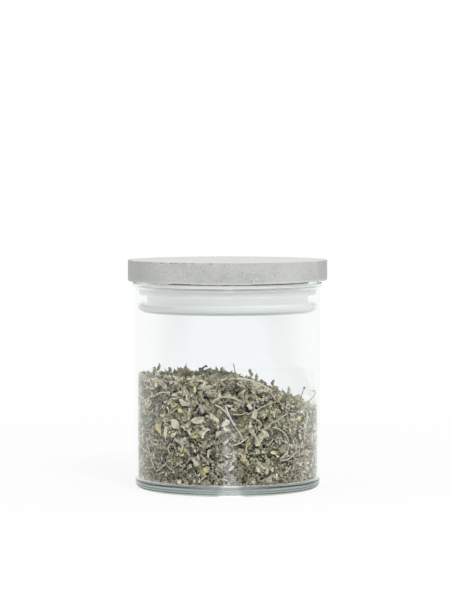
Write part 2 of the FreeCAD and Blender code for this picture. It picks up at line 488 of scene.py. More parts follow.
def makeGlass():
    # Clear glass with a faint drawn unevenness, dark rings in the heel painted as shade for its dark
    # refractions, and an even glow where light has turned so often inside the base or the rim that it is
    # trapped there.
    j = jar
    material, tree, place = newMaterial("clearGlass")
    lightPath = addNode(tree, "ShaderNodeLightPath").outputs
    drawn = addNode(tree, "ShaderNodeMapping", {0: place, "Scale": (1.0, 1.0, 0.12)}).outputs[0]
    mask = grain(tree, drawn, 160.0, 30.0, 0.5, 0.6)
    at = axesOf(tree, place)
    flat = addNode(tree, "ShaderNodeCombineXYZ", {"X": at["X"], "Y": at["Y"]}).outputs[0]
    outer = compute(tree, "GREATER_THAN", lengthOf(tree, flat), j["ringsFrom"] * mm)
    aside = spread(tree, compute(tree, "ABSOLUTE", at["X"]), 0.006, 0.022, 0.6, 1.0)
    # painted shade in rings round the heel, stronger away from the middle in x
    rings = 0.0
    for height, width, depth in j["heelShadeRings"]:
        off = gap(tree, at["Z"], height * mm)
        rings = compute(tree, "MAXIMUM", rings, spread(tree, off, 0.3 * width * mm, width * mm, depth, 0.0))
    tint = mixColours(tree, times(tree, rings, outer, aside), j["tint"], j["heelRingShade"])
    normal = bumped(tree, mask[0], 0.02, 0.0003)
    others = {"IOR": j["ior"], "Transmission Weight": 1.0}
    glass = principled(tree, tint, spread(tree, mask[1], 0.45, 0.8, 0.0, 0.012), normal, others)
    guided = addNode(tree, "ShaderNodeEmission", {"Color": j["guided"], "Strength": 1.0})
    turns = spread(tree, at["Z"], *j["turnsNeeded"])
    trapped = compute(tree, "GREATER_THAN", lightPath["Glossy Depth"], turns)
    clear = addNode(tree, "ShaderNodeBsdfTransparent", {"Color": j["passing"]})
    passing = compute(tree, "MAXIMUM", lightPath["Is Shadow Ray"], lightPath["Is Diffuse Ray"])
    seen = mixShaders(tree, trapped, glass, guided.outputs[0])
    surface = mixShaders(tree, passing, seen, clear.outputs[0])
    body = addNode(tree, "ShaderNodeVolumeAbsorption", {"Color": j["body"], "Density": j["density"]})
    addNode(tree, "ShaderNodeOutputMaterial", {"Surface": surface, "Volume": body.outputs[0]})
    return material


makeJar().data.materials.append(makeGlass())
print("jar made")


# lid

lid = {
    "radius": 53.8,
    "underside": 111.4,
    "top": 122.9,
    "spigot": 41.6,
    "flange": 42.9,
    "plugFoot": 94.9,
    "flangeTop": 96.2,
    "segments": 600,
    "roughness": 0.035,
    # cast flaws: (angle from the front in degrees, how far the edge rises, half width in degrees)
    "raisedEdge": [
        (24.0, 0.35, 12.0), (42.0, 0.5, 20.0), (66.0, 0.75, 24.0), (92.0, 0.8, 16.0), (-28.0, 0.4, 9.0),
        (-88.0, 0.35, 14.0), (118.0, 0.5, 14.0), (196.0, 0.6, 20.0),
    ],
    # small chips in the top edge: (angle from the front, half width in mm, depth)
    "chips": [
        (-55.2, 0.55, 0.5), (-51.7, 0.5, 0.45), (-49.1, 0.7, 0.55), (-40.2, 0.9, 0.6), (-38.0, 0.5, 0.35),
        (-33.1, 0.9, 0.55), (-30.2, 0.7, 0.5), (-25.1, 0.6, 0.5), (-20.2, 0.6, 0.45), (-9.4, 0.7, 0.45),
        (14.0, 0.4, 0.25), (63.0, 0.5, 0.4), (88.0, 0.6, 0.5), (101.0, 0.4, 0.4), (139.0, 0.7, 0.5),
        (158.0, 0.5, 0.4), (171.0, 0.6, 0.45), (203.0, 0.5, 0.4), (231.0, 0.8, 0.55), (247.0, 0.5, 0.4),
        (266.0, 0.4, 0.3),
    ],
    "shelfEdge": 49.0,  # radius where the lit underside ends, inside the glass
    "cast": [
        (0.15, (0.35, 0.36, 0.33)), (0.42, (0.465, 0.475, 0.445)),
        (0.62, (0.53, 0.54, 0.515)), (0.9, (0.65, 0.66, 0.64)),
    ],
    "clouds": (0.56, 0.565, 0.55),
    "paintedTopLight": (0.69, 0.70, 0.685),  # the top face painted paler, as painted light from above
    "edgeHighlight": (0.74, 0.74, 0.71),  # painted highlight along the lower edge
    "shade": (0.09, 0.09, 0.08),  # under the raised edge
    "paleSpecks": (0.80, 0.80, 0.77),
    "darkSpecks": (0.25, 0.25, 0.235),
    # pores and chips darkened: painted shade in the hollows, and in the chips also their darker broken face
    "hollowShade": (0.13, 0.13, 0.12),
    "chipShade": 0.92,
    "shelfGlow": (0.78, 0.82, 0.73),
}


def makeLid():
    # Closed section turned about the axis, then cast flaws: a fine skin of waves, chips pressed into the top
    # edge, and a lower edge that rises by rise * (1 - (off / width)^2)^1.5 at each raisedEdge.
    k = lid
    line = section(
        [
            (0, k["plugFoot"], 0, 6.0),
            (k["flange"], k["plugFoot"], 0.35, 0.6),
            (k["flange"], k["flangeTop"], 0.2, 0.8),
            (k["spigot"], k["flangeTop"], 0.2, 2.5),
            (k["spigot"], k["underside"], 0.3, 0.9),
            (k["radius"], k["underside"], 0.35, 0.34),
            (k["radius"], k["top"], 0.16, 1.6),
            (0, k["top"], 0, 1.0),
        ]
    )
    points, faceSets = turned(line, k["segments"])
    radius = np.hypot(points[:, 0], points[:, 1])
    degrees = offFront(points)
    height = points[:, 2].copy()

    raised = np.zeros(len(points))
    for at, rise, width in k["raisedEdge"]:
        off = (degrees - at + 180) % 360 - 180
        raised += rise * np.clip(1 - (off / width) ** 2, 0, 1) ** 1.5
    raised += 0.1 * (1 + waves(points, (3.0, 12.0), 12, 5))
    reach = smoothStep(k["radius"] - 8.0, k["radius"] - 1.5, radius)
    fade = np.clip(1 - (height - k["underside"]) / 3.5, 0, 1) * (height > k["underside"] - 0.5)
    points[:, 2] += raised * reach * fade

    pressed = np.zeros(len(points))
    for at, width, depth in k["chips"]:
        off = np.radians((degrees - at + 180) % 360 - 180) * k["radius"]
        aside = (radius - k["radius"]) / 0.9
        below = (height - k["top"]) / 0.8
        away = np.sqrt((off / width) ** 2 + aside**2 + below**2)
        pressed = np.maximum(pressed, depth * (1 - smoothStep(0.25, 1.15, away)))
    skin = waves(points, (0.9, 2.6), 40, 7) * 0.6 + waves(points, (5.0, 30.0), 16, 9) * 0.6
    skin = np.minimum(skin - 0.9, 0)
    outer = (height > k["underside"] - 0.5) * (radius > 1.0)
    inward = (pressed * 0.75 - skin * k["roughness"]) * outer
    side = smoothStep(k["radius"] - 1.2, k["radius"] - 0.1, radius)
    points[:, :2] *= (1 - inward * side / np.maximum(radius, 1))[:, None]
    topward = smoothStep(k["top"] - 1.0, k["top"] - 0.1, height)
    points[:, 2] -= inward * topward
    piece = addMesh("lid_cast", points, faceSets, "lid", "lid_disc")

    rise = points[:, 2] - k["underside"] - raised
    edge = k["shelfEdge"]
    shelf = smoothStep(edge + 0.5, edge - 0.5, radius) * (radius > k["spigot"] + 0.5)
    under = smoothStep(edge, edge + 2.0, radius) * smoothStep(k["radius"] - 0.2, k["radius"] - 0.6, radius)
    crown = smoothStep(k["radius"] - 0.3, k["radius"] - 0.6, radius)
    addValues(piece, "chip", np.clip(pressed / 0.35, 0, 1))
    # a pale band along the lower edge, a painted highlight where the edge catches light
    addValues(piece, "arrisHighlight", (radius > k["radius"] - 0.5) * smoothStep(1.0, 0.5, rise))
    addValues(piece, "shelf", (np.abs(height - k["underside"]) < 0.2) * shelf)
    addValues(piece, "under", (height < k["underside"] + 0.1) * under)
    # skin marks the top face, which is painted paler below as painted light from above
    addValues(piece, "skin", (height > k["top"] - 0.03) * crown)
    return piece


def makeConcrete():
    # Clouded grey with specks, pores and chips darkened with painted shade, the top face painted paler as
    # light from above, a painted highlight along the lower edge, painted shade under the raised edge, and a
    # painted glow on the underside as if lit through the glass.
    k = lid
    material, tree, place = newMaterial("castConcrete")
    mask = grain(tree, place, 1100.0, 45.0, 0.9, 1.0)
    cloud = grain(tree, place, 240.0, 95.0, 0.8, 0.6)
    colour = ramp(tree, mask[0], k["cast"])
    colour = mixColours(tree, spread(tree, cloud[0], 0.35, 0.7, 0.0, 0.5), colour, k["clouds"])
    # painted highlight: the top face paler for the light that falls on it from above
    colour = mixColours(tree, times(tree, reading(tree, "skin"), 0.75), colour, k["paintedTopLight"])
    # painted highlight along the lower edge
    colour = mixColours(tree, times(tree, reading(tree, "arrisHighlight"), 0.5), colour, k["edgeHighlight"])
    colour = mixColours(tree, reading(tree, "under"), colour, k["shade"])
    specks = addNode(tree, "ShaderNodeTexVoronoi", {"Vector": place, "Scale": 620.0}).outputs
    rare = channelsOf(tree, specks["Color"])
    near = spread(tree, specks["Distance"], 0.12, 0.34, 1.0, 0.0)
    dark = times(tree, near, compute(tree, "GREATER_THAN", rare[0], 0.93))
    light = times(tree, near, compute(tree, "GREATER_THAN", rare[1], 0.86))
    pores = addNode(tree, "ShaderNodeTexVoronoi", {"Vector": place, "Scale": 230.0}).outputs
    few = compute(tree, "GREATER_THAN", channelsOf(tree, pores["Color"])[0], 0.9)
    pore = times(tree, spread(tree, pores["Distance"], 0.08, 0.17, 1.0, 0.0), few)
    colour = mixColours(tree, times(tree, light, 0.55), colour, k["paleSpecks"])
    colour = mixColours(tree, times(tree, dark, 0.6), colour, k["darkSpecks"])
    # painted shade in pores and chips, with the chips' own darker broken face
    chipped = times(tree, reading(tree, "chip"), k["chipShade"])
    colour = mixColours(tree, compute(tree, "MAXIMUM", times(tree, pore, 0.8), chipped), colour, k["hollowShade"])
    relief = compute(tree, "SUBTRACT", mask[0], times(tree, pore, 2.5))
    others = {
        "Specular IOR Level": 0.25,
        "Emission Color": k["shelfGlow"],
        "Emission Strength": times(tree, reading(tree, "shelf"), 0.2),
    }
    roughness = spread(tree, mask[0], 0.2, 0.8, 0.7, 0.95)
    finish(tree, principled(tree, colour, roughness, bumped(tree, relief, 0.55, 0.00022), others))
    return material


makeLid().data.materials.append(makeConcrete())
print("lid made")


# seal

seal = {
    "bore": 41.65,
    "pocket": 42.95,  # where the lid's flange sits
    "pocketTop": 96.25,
    "foot": 94.9,
    "nose": 45.2,
    "lowerLip": (48.4, 96.55, 98.95),  # radius, and the heights of its two edges
    "web": (43.6, 99.35, 104.05),
    "upperLip": (48.1, 104.45, 107.35),
    "collar": 43.9,
    "top": 111.35,
    "segments": 256,
    # the silicone is one colour; these are lit and shaded copies of it: painted shade on the lower lip,
    # painted light on the upper lip and web
    "lowerPaintedShade": (0.69, 0.72, 0.72),
    "upperPaintedLight": (0.93, 0.95, 0.955),
    "webPaintedLight": (0.975, 0.985, 0.985),
    "dust": (0.5, 0.52, 0.52),
    # painted shade in the crease under the lid
    "creaseShade": (0.2, 0.2, 0.19),
    "glow": 0.14,  # light that comes through the web from its lips
    "collarGlow": 0.24,
    "scatter": (1.0, 1.0, 1.05),
}


def makeSeal():
    # Closed ring section turned about the axis, its lips well rounded, with slow waves in how far they reach.
    k = seal
    low, web, high = k["lowerLip"], k["web"], k["upperLip"]
    line = section(
        [
            (k["pocket"], k["foot"], 0.1, 0.6),
            (k["nose"], k["foot"], 0.9, 0.7),
            (low[0], low[1], 0.9, 0.5),
            (low[0], low[2], 0.85, 0.7),
            (web[0], web[1], 0.9, 0.7),
            (web[0], web[2], 0.9, 0.7),
            (high[0], high[1], 0.9, 0.5),
            (high[0], high[2], 0.95, 0.8),
            (k["collar"], high[2], 0.6, 0.8),
            (k["collar"], k["top"], 0.4, 0.6),
            (k["bore"], k["top"], 0.1, 1.5),
            (k["bore"], k["pocketTop"], 0.1, 0.6),
            (k["pocket"], k["pocketTop"], 0.1, 0.5),
        ],
        closed=True,
    )
    points, faceSets = turned(line, k["segments"], closed=True)
    radius = np.hypot(points[:, 0], points[:, 1])
    slack = (waves(points * [1, 1, 0.2], (14.0, 60.0), 8, 21) - 1.2) * 0.12 * smoothStep(44.0, 47.5, radius)
    points[:, :2] *= (1 + slack / radius)[:, None]
    piece = addMesh("seal_silicone", points, faceSets, "lid", "seal_ring")
    addValues(piece, "web", (1 - smoothStep(44.2, 46.6, radius)) * smoothStep(110.9, 110.4, points[:, 2]))
    # crease: top of the collar under the lid, darkened as painted shade
    addValues(piece, "crease", smoothStep(110.3, 110.9, points[:, 2]))
    return piece


def makeSilicone():
    # Milky silicone of one colour, painted paler at the upper lip and the web as painted light against their
    # shade and darker at the lower lip as painted shade against the light on it; the web glows with the light
    # its lips let through, and the crease under the lid is dark with painted shade.
    k = seal
    material, tree, place = newMaterial("milkySilicone")
    mask = grain(tree, place, 500.0, 40.0, 0.3, 0.8)
    web = reading(tree, "web")
    height = axesOf(tree, place)["Z"]
    # painted light and shade: the lower lip darker, the upper lip and web paler, against how light falls on
    # them
    colour = mixColours(tree, spread(tree, height, 0.1, 0.104), k["lowerPaintedShade"], k["upperPaintedLight"])
    colour = mixColours(tree, web, colour, k["webPaintedLight"])
    colour = mixColours(tree, spread(tree, mask[0], 0.3, 0.7, 0.06, 0.0), colour, k["dust"])
    # painted shade in the crease under the lid
    colour = mixColours(tree, reading(tree, "crease"), colour, k["creaseShade"])
    light = spread(tree, height, 0.1045, 0.107, k["glow"], k["collarGlow"])
    others = {
        "IOR": 1.41,
        "Subsurface Weight": 1.0,
        "Subsurface Radius": k["scatter"],
        "Subsurface Scale": 0.004,
        "Emission Color": (0.97, 1.0, 1.0),
        "Emission Strength": times(tree, web, light),
    }
    roughness = spread(tree, mask[1], 0.3, 0.7, 0.34, 0.46)
    finish(tree, principled(tree, colour, roughness, bumped(tree, mask[0], 0.15, 0.0003), others))
    return material


makeSeal().data.materials.append(makeSilicone())
print("seal made")


# herb

herb = {
    "wall": 48.42,  # the furthest out that a bit may lie
    "floor": 5.25,
    "corner": 1.1,
    "top": 61.2,
    "fallFrom": 2.0,
    "softness": 2.0,
    "fall": 19.0,
    "backFall": 4.2,
    "bedInset": 4.2,
    "edge": 48.0,  # where the heap's height at the glass is taken
    "wallLeaves": 8800,
    "wallDepths": (0.05, 4.2),  # how far behind the glass they lie
    "wallLength": (0.9, 9.5),
    "wallTone": (1.3, 1.3),  # powers of the beta distribution that each bit's tone is drawn from
    "topLeaves": 3400,
    "topLength": (1.4, 5.5),
    "topTone": (1.6, 1.3),
    "crumbs": 9000,
    "crumbDepths": (0.02, 1.9),
    "crumbLength": (0.5, 2.2),
    "crumbTone": (1.8, 1.15),
    "wallStems": 420,
    "wallStemLength": (2.5, 22.0),
    "topStems": 150,
    "topStemLength": (3.0, 24.0),
    "stemTone": (2.5, 1.6),
    "listedLeafDepth": 0.35,
    "listedStemDepth": 0.45,
    "setBack": 1.7,  # how far bits that cover the listed ones are moved back from the glass
    "standY": -8.0,  # where the leaves that stand above the heap are
    "leaf": [
        (0.02, (0.045, 0.044, 0.03)), (0.25, (0.176, 0.169, 0.121)), (0.5, (0.415, 0.398, 0.292)),
        (0.75, (0.635, 0.61, 0.48)), (0.98, (0.84, 0.81, 0.67)),
    ],
    "hues": [
        (0.0, (1.0, 1.0, 1.0)), (0.35, (0.95, 1.0, 0.95)), (0.6, (1.05, 0.99, 0.94)),
        (0.86, (1.1, 1.02, 0.64)), (0.93, (0.95, 0.9, 1.06)),
    ],
    "veins": (0.58, 0.56, 0.44),
    "straw": [
        (0.1, (0.19, 0.165, 0.115)), (0.45, (0.36, 0.325, 0.235)),
        (0.7, (0.52, 0.48, 0.365)), (0.95, (0.66, 0.62, 0.49)),
    ],
    # painted shade: colours of the dark mass that stands in for the shade behind the leaves
    "shadeBed": [(0.3, (0.02, 0.019, 0.013)), (0.6, (0.06, 0.057, 0.04)), (0.85, (0.16, 0.15, 0.11))],
}


def herbHeight(x, y):
    # Top of the heap: level on the left, then a straight fall with a soft start to the right wall, a soft
    # fall to the back, and small humps.
    h = herb
    along = np.hypot(np.clip(x - h["fallFrom"], 0, None), h["softness"]) - h["softness"]
    back = h["backFall"] * smoothStep(-10.0, 48.0, y)
    places = np.stack([x, y, np.zeros_like(x)], axis=-1)
    humps = 0.5 * waves(places, (9.0, 34.0), 12, 31)
    return h["top"] - h["fall"] * along / 46.0 - back + humps


def edgeHeight(a):
    # Height of the heap at the glass, at angles from the front.
    return herbHeight(herb["edge"] * np.sin(a), -herb["edge"] * np.cos(a))


def outward(a, rise):
    return np.stack([np.sin(a), -np.cos(a), np.full(len(a), rise)], axis=-1)


def makeBed():
    # Painted shade: a dark mass behind the loose bits, standing in for the shade among them: rings (r cos a,
    # r sin a, z) up the wall and over the heap, two poles.
    h = herb
    segments = 240
    inner = h["wall"] - h["bedInset"]
    across = np.concatenate([np.linspace(6, inner - 3, 9), np.full(26, inner), np.linspace(inner, 1.5, 24)])
    share = np.concatenate([np.zeros(9), np.linspace(0.02, 1, 26), np.ones(24)])
    line = np.stack([across, share], axis=-1)
    line = np.vstack([[0, 0], line, [0, 1]])
    points, faceSets = turned(line, segments)
    radius = np.hypot(points[:, 0], points[:, 1])
    low = h["floor"] + 0.25
    high = herbHeight(points[:, 0], points[:, 1]) - 2.6
    points[:, 2] = low + (high - low) * points[:, 2]
    lumps = waves(points, (3.0, 9.0), 30, 33)
    points[:, 2] += np.where(points[:, 2] > low + 4, 0.5 * lumps, 0)
    points[:, :2] *= (1 + 0.6 * lumps * (radius > 20) / np.maximum(radius, 1))[:, None]
    return addMesh("herb_shade_bed", points, faceSets, "jar", "herb_fill")


def randomTurns(facing, lean, count, along):
    # Frames (n, 3, 3) whose third axis is near facing, leaning by about lean radians, with any spin about it,
    # or with the first axis towards along.
    normal = facing + rng.normal(size=(count, 3)) * lean[:, None]
    normal /= np.linalg.norm(normal, axis=1, keepdims=True)
    other = rng.normal(size=(count, 3)) if along is None else np.cross(normal, along)
    first = np.cross(other, normal)
    first /= np.linalg.norm(first, axis=1, keepdims=True)
    return np.stack([first, np.cross(normal, first), normal], axis=-1)


def keepInside(points):
    # Bits pressed against the glass: depth behind the wall is w ln(1 + e^(d/w)), so it never reaches 0 and
    # order is kept, and the same holds over the floor and round its corner.
    h = herb
    width = 0.22
    radius = np.hypot(points[..., 0], points[..., 1])
    rise = np.clip((points[..., 2] - h["floor"]) / h["corner"], 0, 1)
    limit = h["wall"] - h["corner"] * (1 - np.sqrt(np.clip(1 - (1 - rise) ** 2, 0, 1)))
    depth = width * np.logaddexp(0, (limit - radius) / width)
    points[..., :2] *= ((limit - depth) / np.maximum(radius, 1e-6))[..., None]
    points[..., 2] = h["floor"] + width * np.logaddexp(0, (points[..., 2] - h["floor"]) / width)
    return points


def gridQuads(number):
    # Quads of a grid of point numbers.
    corners = [number[:-1, :-1], number[1:, :-1], number[1:, 1:], number[:-1, 1:]]
    return np.stack(corners, axis=-1).reshape(-1, 4)


def flakes(centre, facing, lean, length, width, rows, columns, crumple, along=None):
    # Closed torn leaf bits. On s, v in -1..1: half width w(s) = (1 - b) sqrt(1 - s^2) + b with a blunt or
    # pointed b at either end, torn back at random on each side, x = long s / 2 + skew y,
    # y = wide v w / 2 + sweep s^2, z = bend (s^2 - 0.3) + cup v^2 + fold |v| + twist s v + ripple |v| sin 3s,
    # all with a ragged jitter. The upper and lower skins part by a thickness within their shared rim.
    count = len(centre)
    s, v = np.meshgrid(np.linspace(-1, 1, rows), np.linspace(-1, 1, columns), indexing="ij")
    s = s[None] + rng.normal(size=(count, rows, columns)) * 0.4 / rows
    v = np.broadcast_to(v[None], s.shape)
    ends = (count, 2)
    blunt = np.where(rng.random(ends) < 0.45, rng.uniform(0.02, 0.25, ends), rng.uniform(0.4, 1.0, ends))
    share = np.clip((s + 1) / 2, 0, 1)
    b = blunt[:, :1, None] * (1 - share) + blunt[:, 1:, None] * share
    half = (1 - b) * np.sqrt(np.clip(1 - s**2, 0, 1)) + b
    torn = 1 - rng.uniform(0, 0.6, (count, rows, 2)) * (rng.random((count, rows, 2)) < 0.7)
    half = half * np.where(v < 0, torn[..., :1], torn[..., 1:])
    curl = rng.normal(size=(7, count, 1, 1)) * crumple
    long = length[:, None, None]
    wide = width[:, None, None]
    y = wide * v * half / 2 + 0.3 * curl[0] * wide * s**2
    x = long * s / 2 + 0.35 * curl[5] * y
    z = 0.2 * long * curl[1] * (s**2 - 0.3) + 0.4 * wide * curl[2] * v**2 + 0.3 * wide * curl[3] * s * v
    ripple = np.abs(v) * wide * (0.25 * curl[4] + 0.14 * np.sin(3 * s + 9 * curl[6]))
    z += ripple + rng.normal(size=s.shape) * 0.05 * wide * crumple
    thick = 0.05 + 0.04 * rng.random((count, 1, 1))
    inner = slice(1, -1)
    upper = np.stack([x, y, z], axis=-1)
    lower = upper[:, inner, inner].copy()
    puff = np.broadcast_to(thick, lower.shape[:3])
    upper[:, inner, inner, 2] += puff
    lower[..., 2] -= puff
    local = np.concatenate([upper.reshape(count, -1, 3), lower.reshape(count, -1, 3)], axis=1)
    frames = randomTurns(facing, lean, count, along)
    points = np.einsum("nij,nkj->nki", frames, local) + centre[:, None, :]
    points = keepInside(points)

    number = np.arange(rows * columns).reshape(rows, columns)
    under = number.copy()
    under[inner, inner] = rows * columns + np.arange((rows - 2) * (columns - 2)).reshape(rows - 2, -1)
    pattern = np.vstack([gridQuads(number), gridQuads(under)[:, [0, 3, 2, 1]]])
    each = local.shape[1]
    quads = (pattern[None] + (np.arange(count) * each)[:, None, None]).reshape(-1, 4)
    uv = np.stack([(s + 1) / 2, (v + 1) / 2], axis=-1)
    uv = np.concatenate([uv.reshape(count, -1, 2), uv[:, inner, inner].reshape(count, -1, 2)], axis=1)
    return points.reshape(-1, 3), quads, uv.reshape(-1, 2), each


def stems(paths, thickness, rings=12, sides=6):
    # Tubes: rings square to each path, their radius tapering with small knots and less at both closed ends.
    # The (n, 4, 3) paths are the control points of one cubic Bezier curve each.
    count = len(paths)
    u = np.linspace(0.0, 1.0, rings)
    rest = 1 - u
    slope = np.stack([-3 * rest**2, 3 * rest**2 - 6 * u * rest, 6 * u * rest - 3 * u**2, 3 * u**2], axis=-1)
    centre = np.einsum("rk,nkj->nrj", curveShares(u), paths)
    along = np.einsum("rk,nkj->nrj", slope, paths)
    along /= np.maximum(np.linalg.norm(along, axis=-1, keepdims=True), 1e-9)
    aside = np.cross(along, rng.normal(size=(count, 1, 3)))
    aside /= np.maximum(np.linalg.norm(aside, axis=-1, keepdims=True), 1e-9)
    up = np.cross(along, aside)
    a = np.arange(sides) * 2 * math.pi / sides
    taper = 0.75 + 0.5 * rest[None, :] * rng.uniform(0, 1, (count, 1))
    taper = taper + 0.12 * rng.normal(size=(count, rings))
    taper *= np.where((u == 0) | (u == 1), 0.55, 1.0)
    radius = (thickness[:, None] / 2 * taper)[..., None, None]
    points = centre[:, :, None] + radius * (
        aside[:, :, None] * np.cos(a)[None, None, :, None] + up[:, :, None] * np.sin(a)[None, None, :, None]
    )
    points = keepInside(points)
    ring, side = np.meshgrid(np.arange(rings - 1), np.arange(sides), indexing="ij")
    pattern = bands(ring, ring + 1, side, sides)
    start = (np.arange(count) * rings * sides)[:, None, None]
    caps = np.stack([np.arange(sides)[::-1], np.arange(sides) + (rings - 1) * sides])
    quads = (pattern[None] + start).reshape(-1, 4)
    ends = (caps[None] + start).reshape(-1, sides)
    around = np.arange(sides) / sides
    uv = np.stack(np.broadcast_arrays(u[None, :, None], around, np.zeros((count, 1, 1)))[:2], axis=-1)
    return points.reshape(-1, 3), quads, ends, uv.reshape(-1, 2), rings * sides


def curveShares(u):
    # Shares of the four control points of a cubic Bezier curve at u.
    return np.stack([(1 - u) ** 3, 3 * u * (1 - u) ** 2, 3 * u**2 * (1 - u), u**3], axis=-1)


def clearStems(centre, length, lean):
    # Bits over a listed stem or leaf move back from the glass and lean less, so that it shows whole.
    degreeArc = math.radians(herb["wall"])  # mm along the wall for each degree
    listed = np.array([stem[:4] for stem in wallStemList])
    track = np.einsum("rk,nkj->nrj", curveShares(np.linspace(0, 1, 25)), listed).reshape(-1, 2)
    across = offFront(centre)[:, None] * degreeArc
    away = np.hypot(across - track[:, 0] * degreeArc, centre[:, 2:] - track[:, 1]).min(axis=1)
    leaves = np.array(wallLeafList)
    spots = np.hypot(across - leaves[:, 0] * degreeArc, centre[:, 2:] - leaves[:, 1]) - 0.3 * leaves[:, 2]
    away = np.minimum(away, spots.min(axis=1))
    radius = np.hypot(centre[:, 0], centre[:, 1])
    over = (away < 0.6 + 0.42 * length) & (radius > 42)
    centre[:, :2] *= (1 - herb["setBack"] * over / np.maximum(radius, 1))[:, None]
    lean[over] *= 0.35


def wallPath(degrees, height, depth):
    # Points on the wall from angles off the front, heights and depths behind the glass.
    a = np.radians(degrees)
    r = herb["wall"] - depth
    return np.stack([r * np.sin(a), -r * np.cos(a), height], axis=-1)


# stems that stand out, each as four (degrees from the front, height) pairs for its curve, and its thickness
wallStemList = [
    ((4.8, 62.2), (11.0, 62.6), (20.0, 60.6), (29.0, 55.4), 0.9),
    ((11.7, 43.3), (17.0, 44.4), (23.0, 48.6), (31.5, 49.5), 0.75),
    ((3.0, 43.6), (6.0, 43.2), (9.0, 43.2), (12.4, 44.5), 0.6),
    ((14.4, 41.9), (16.5, 41.8), (19.0, 40.4), (21.6, 38.5), 0.7),
    ((29.3, 36.1), (41.0, 35.0), (49.0, 23.5), (34.2, 19.0), 0.85),
    ((46.5, 30.0), (53.0, 25.5), (48.5, 17.5), (34.6, 18.2), 0.8),
    ((38.1, 11.5), (40.5, 12.0), (42.5, 14.0), (44.0, 15.3), 0.7),
    ((25.5, 26.5), (27.0, 27.4), (28.5, 28.8), (29.7, 30.3), 0.6),
    ((3.6, 27.5), (7.0, 27.6), (10.0, 29.8), (13.0, 31.6), 0.85),
    ((-1.4, 48.6), (0.0, 42.5), (4.6, 37.5), (9.3, 31.4), 0.95),
    ((15.7, 35.5), (16.4, 33.0), (18.6, 30.5), (19.4, 27.5), 0.7),
    ((29.0, 38.8), (33.5, 39.2), (37.0, 42.0), (41.4, 43.3), 0.7),
    ((-9.6, 50.0), (-5.0, 54.0), (3.0, 53.6), (8.0, 50.0), 0.8),
    ((-7.9, 48.6), (-5.0, 47.8), (-1.5, 45.5), (0.5, 42.5), 0.8),
    ((-20.6, 49.9), (-18.0, 49.2), (-16.0, 47.0), (-15.3, 44.5), 0.65),
    ((-40.9, 42.5), (-38.0, 43.6), (-33.5, 45.5), (-31.6, 47.6), 0.6),
    ((-60.1, 40.8), (-58.0, 41.6), (-56.0, 43.2), (-54.0, 44.4), 0.6),
    ((-37.7, 27.3), (-41.0, 26.0), (-41.0, 23.0), (-38.6, 21.9), 0.8),
    ((-51.2, 11.6), (-49.0, 12.0), (-44.5, 15.0), (-41.8, 17.0), 0.6),
    ((-17.3, 22.3), (-15.6, 20.6), (-13.2, 19.0), (-11.5, 16.7), 0.6),
    ((-63.0, 29.3), (-60.0, 25.0), (-58.0, 16.0), (-51.2, 11.6), 0.55),
    ((-51.8, 51.9), (-48.0, 54.0), (-43.0, 54.6), (-38.9, 53.6), 0.7),
]

# stems that stand above the heap: the (x, z) control points of each curve, y, and thickness
proudStemList = [
    ((-25.6, 59.5), (-24.8, 62.5), (-23.2, 65.3), (-21.9, 67.4), -8.0, 0.5),
    ((-15.6, 59.0), (-15.4, 63.2), (-14.2, 64.4), (-12.4, 66.0), -8.0, 0.8),
    ((4.4, 60.5), (3.9, 63.5), (3.5, 65.3), (3.2, 67.4), -8.0, 0.55),
    ((38.4, 46.0), (39.4, 49.0), (40.2, 51.6), (40.9, 54.2), -8.0, 0.55),
    ((43.0, 46.2), (47.9, 50.0), (48.2, 53.4), (45.0, 52.3), -6.0, 0.75),
]

# leaves that stand above the heap: (x, z), lean to the right in degrees, length, width and tone
proudLeafList = [
    (-39.3, 64.2, 10, 3.4, 2.2, 0.5), (-36.9, 65.1, 24, 4.2, 1.7, 0.32), (-12.6, 65.5, 55, 3.4, 1.5, 0.3),
    (-14.8, 63.2, 8, 3.8, 1.8, 0.36), (12.7, 62.4, -12, 4.2, 2.2, 0.55), (15.4, 60.0, 6, 4.0, 2.2, 0.5),
    (24.0, 56.9, 12, 3.4, 2.1, 0.26), (32.8, 53.4, 5, 3.2, 1.9, 0.5), (41.0, 54.2, 20, 1.6, 1.2, 0.25),
    (47.3, 43.5, 15, 3.4, 1.8, 0.5), (-31.0, 64.0, -20, 3.2, 2.2, 0.6), (-3.4, 64.2, 30, 3.0, 1.8, 0.5),
]

# larger leaves that stand out at the wall: degrees, height, length, width, tone and hue
wallLeafList = [
    (29.7, 22.9, 4.4, 2.6, 0.8, 0.9), (51.2, 39.6, 4.6, 4.0, 0.9, 0.9), (10.4, 19.3, 4.0, 3.2, 0.6, 0.9),
    (-49.1, 34.6, 7.5, 4.6, 0.72, 0.9), (-20.6, 17.5, 5.0, 3.4, 0.7, 0.7), (-14.3, 14.1, 4.6, 3.6, 0.75, 0.9),
    (-34.9, 38.0, 6.2, 4.8, 0.86, 0.3), (-19.9, 40.1, 7.0, 3.6, 0.82, 0.3), (-34.9, 59.5, 8.0, 5.0, 0.6, 0.3),
    (-44.0, 58.5, 6.5, 4.6, 0.62, 0.3), (-13.5, 58.0, 8.2, 4.2, 0.6, 0.3), (-11.0, 54.6, 7.0, 4.2, 0.52, 0.3),
    (-2.0, 39.0, 5.6, 3.4, 0.9, 0.3), (24.0, 33.0, 5.0, 4.0, 0.8, 0.3), (60.0, 21.5, 6.6, 5.0, 0.75, 0.3),
    (11.8, 26.9, 8.0, 1.4, 0.6, 0.9), (-28.0, 49.0, 6.4, 3.4, 0.7, 0.3), (-6.0, 33.5, 5.4, 3.8, 0.84, 0.3),
]


def addHerb(name, points, faceSets, uv, smooth=False):
    piece = addMesh(name, points, faceSets, "jar", "herb_fill", smooth)
    addUv(piece, "leaf", uv)
    return piece


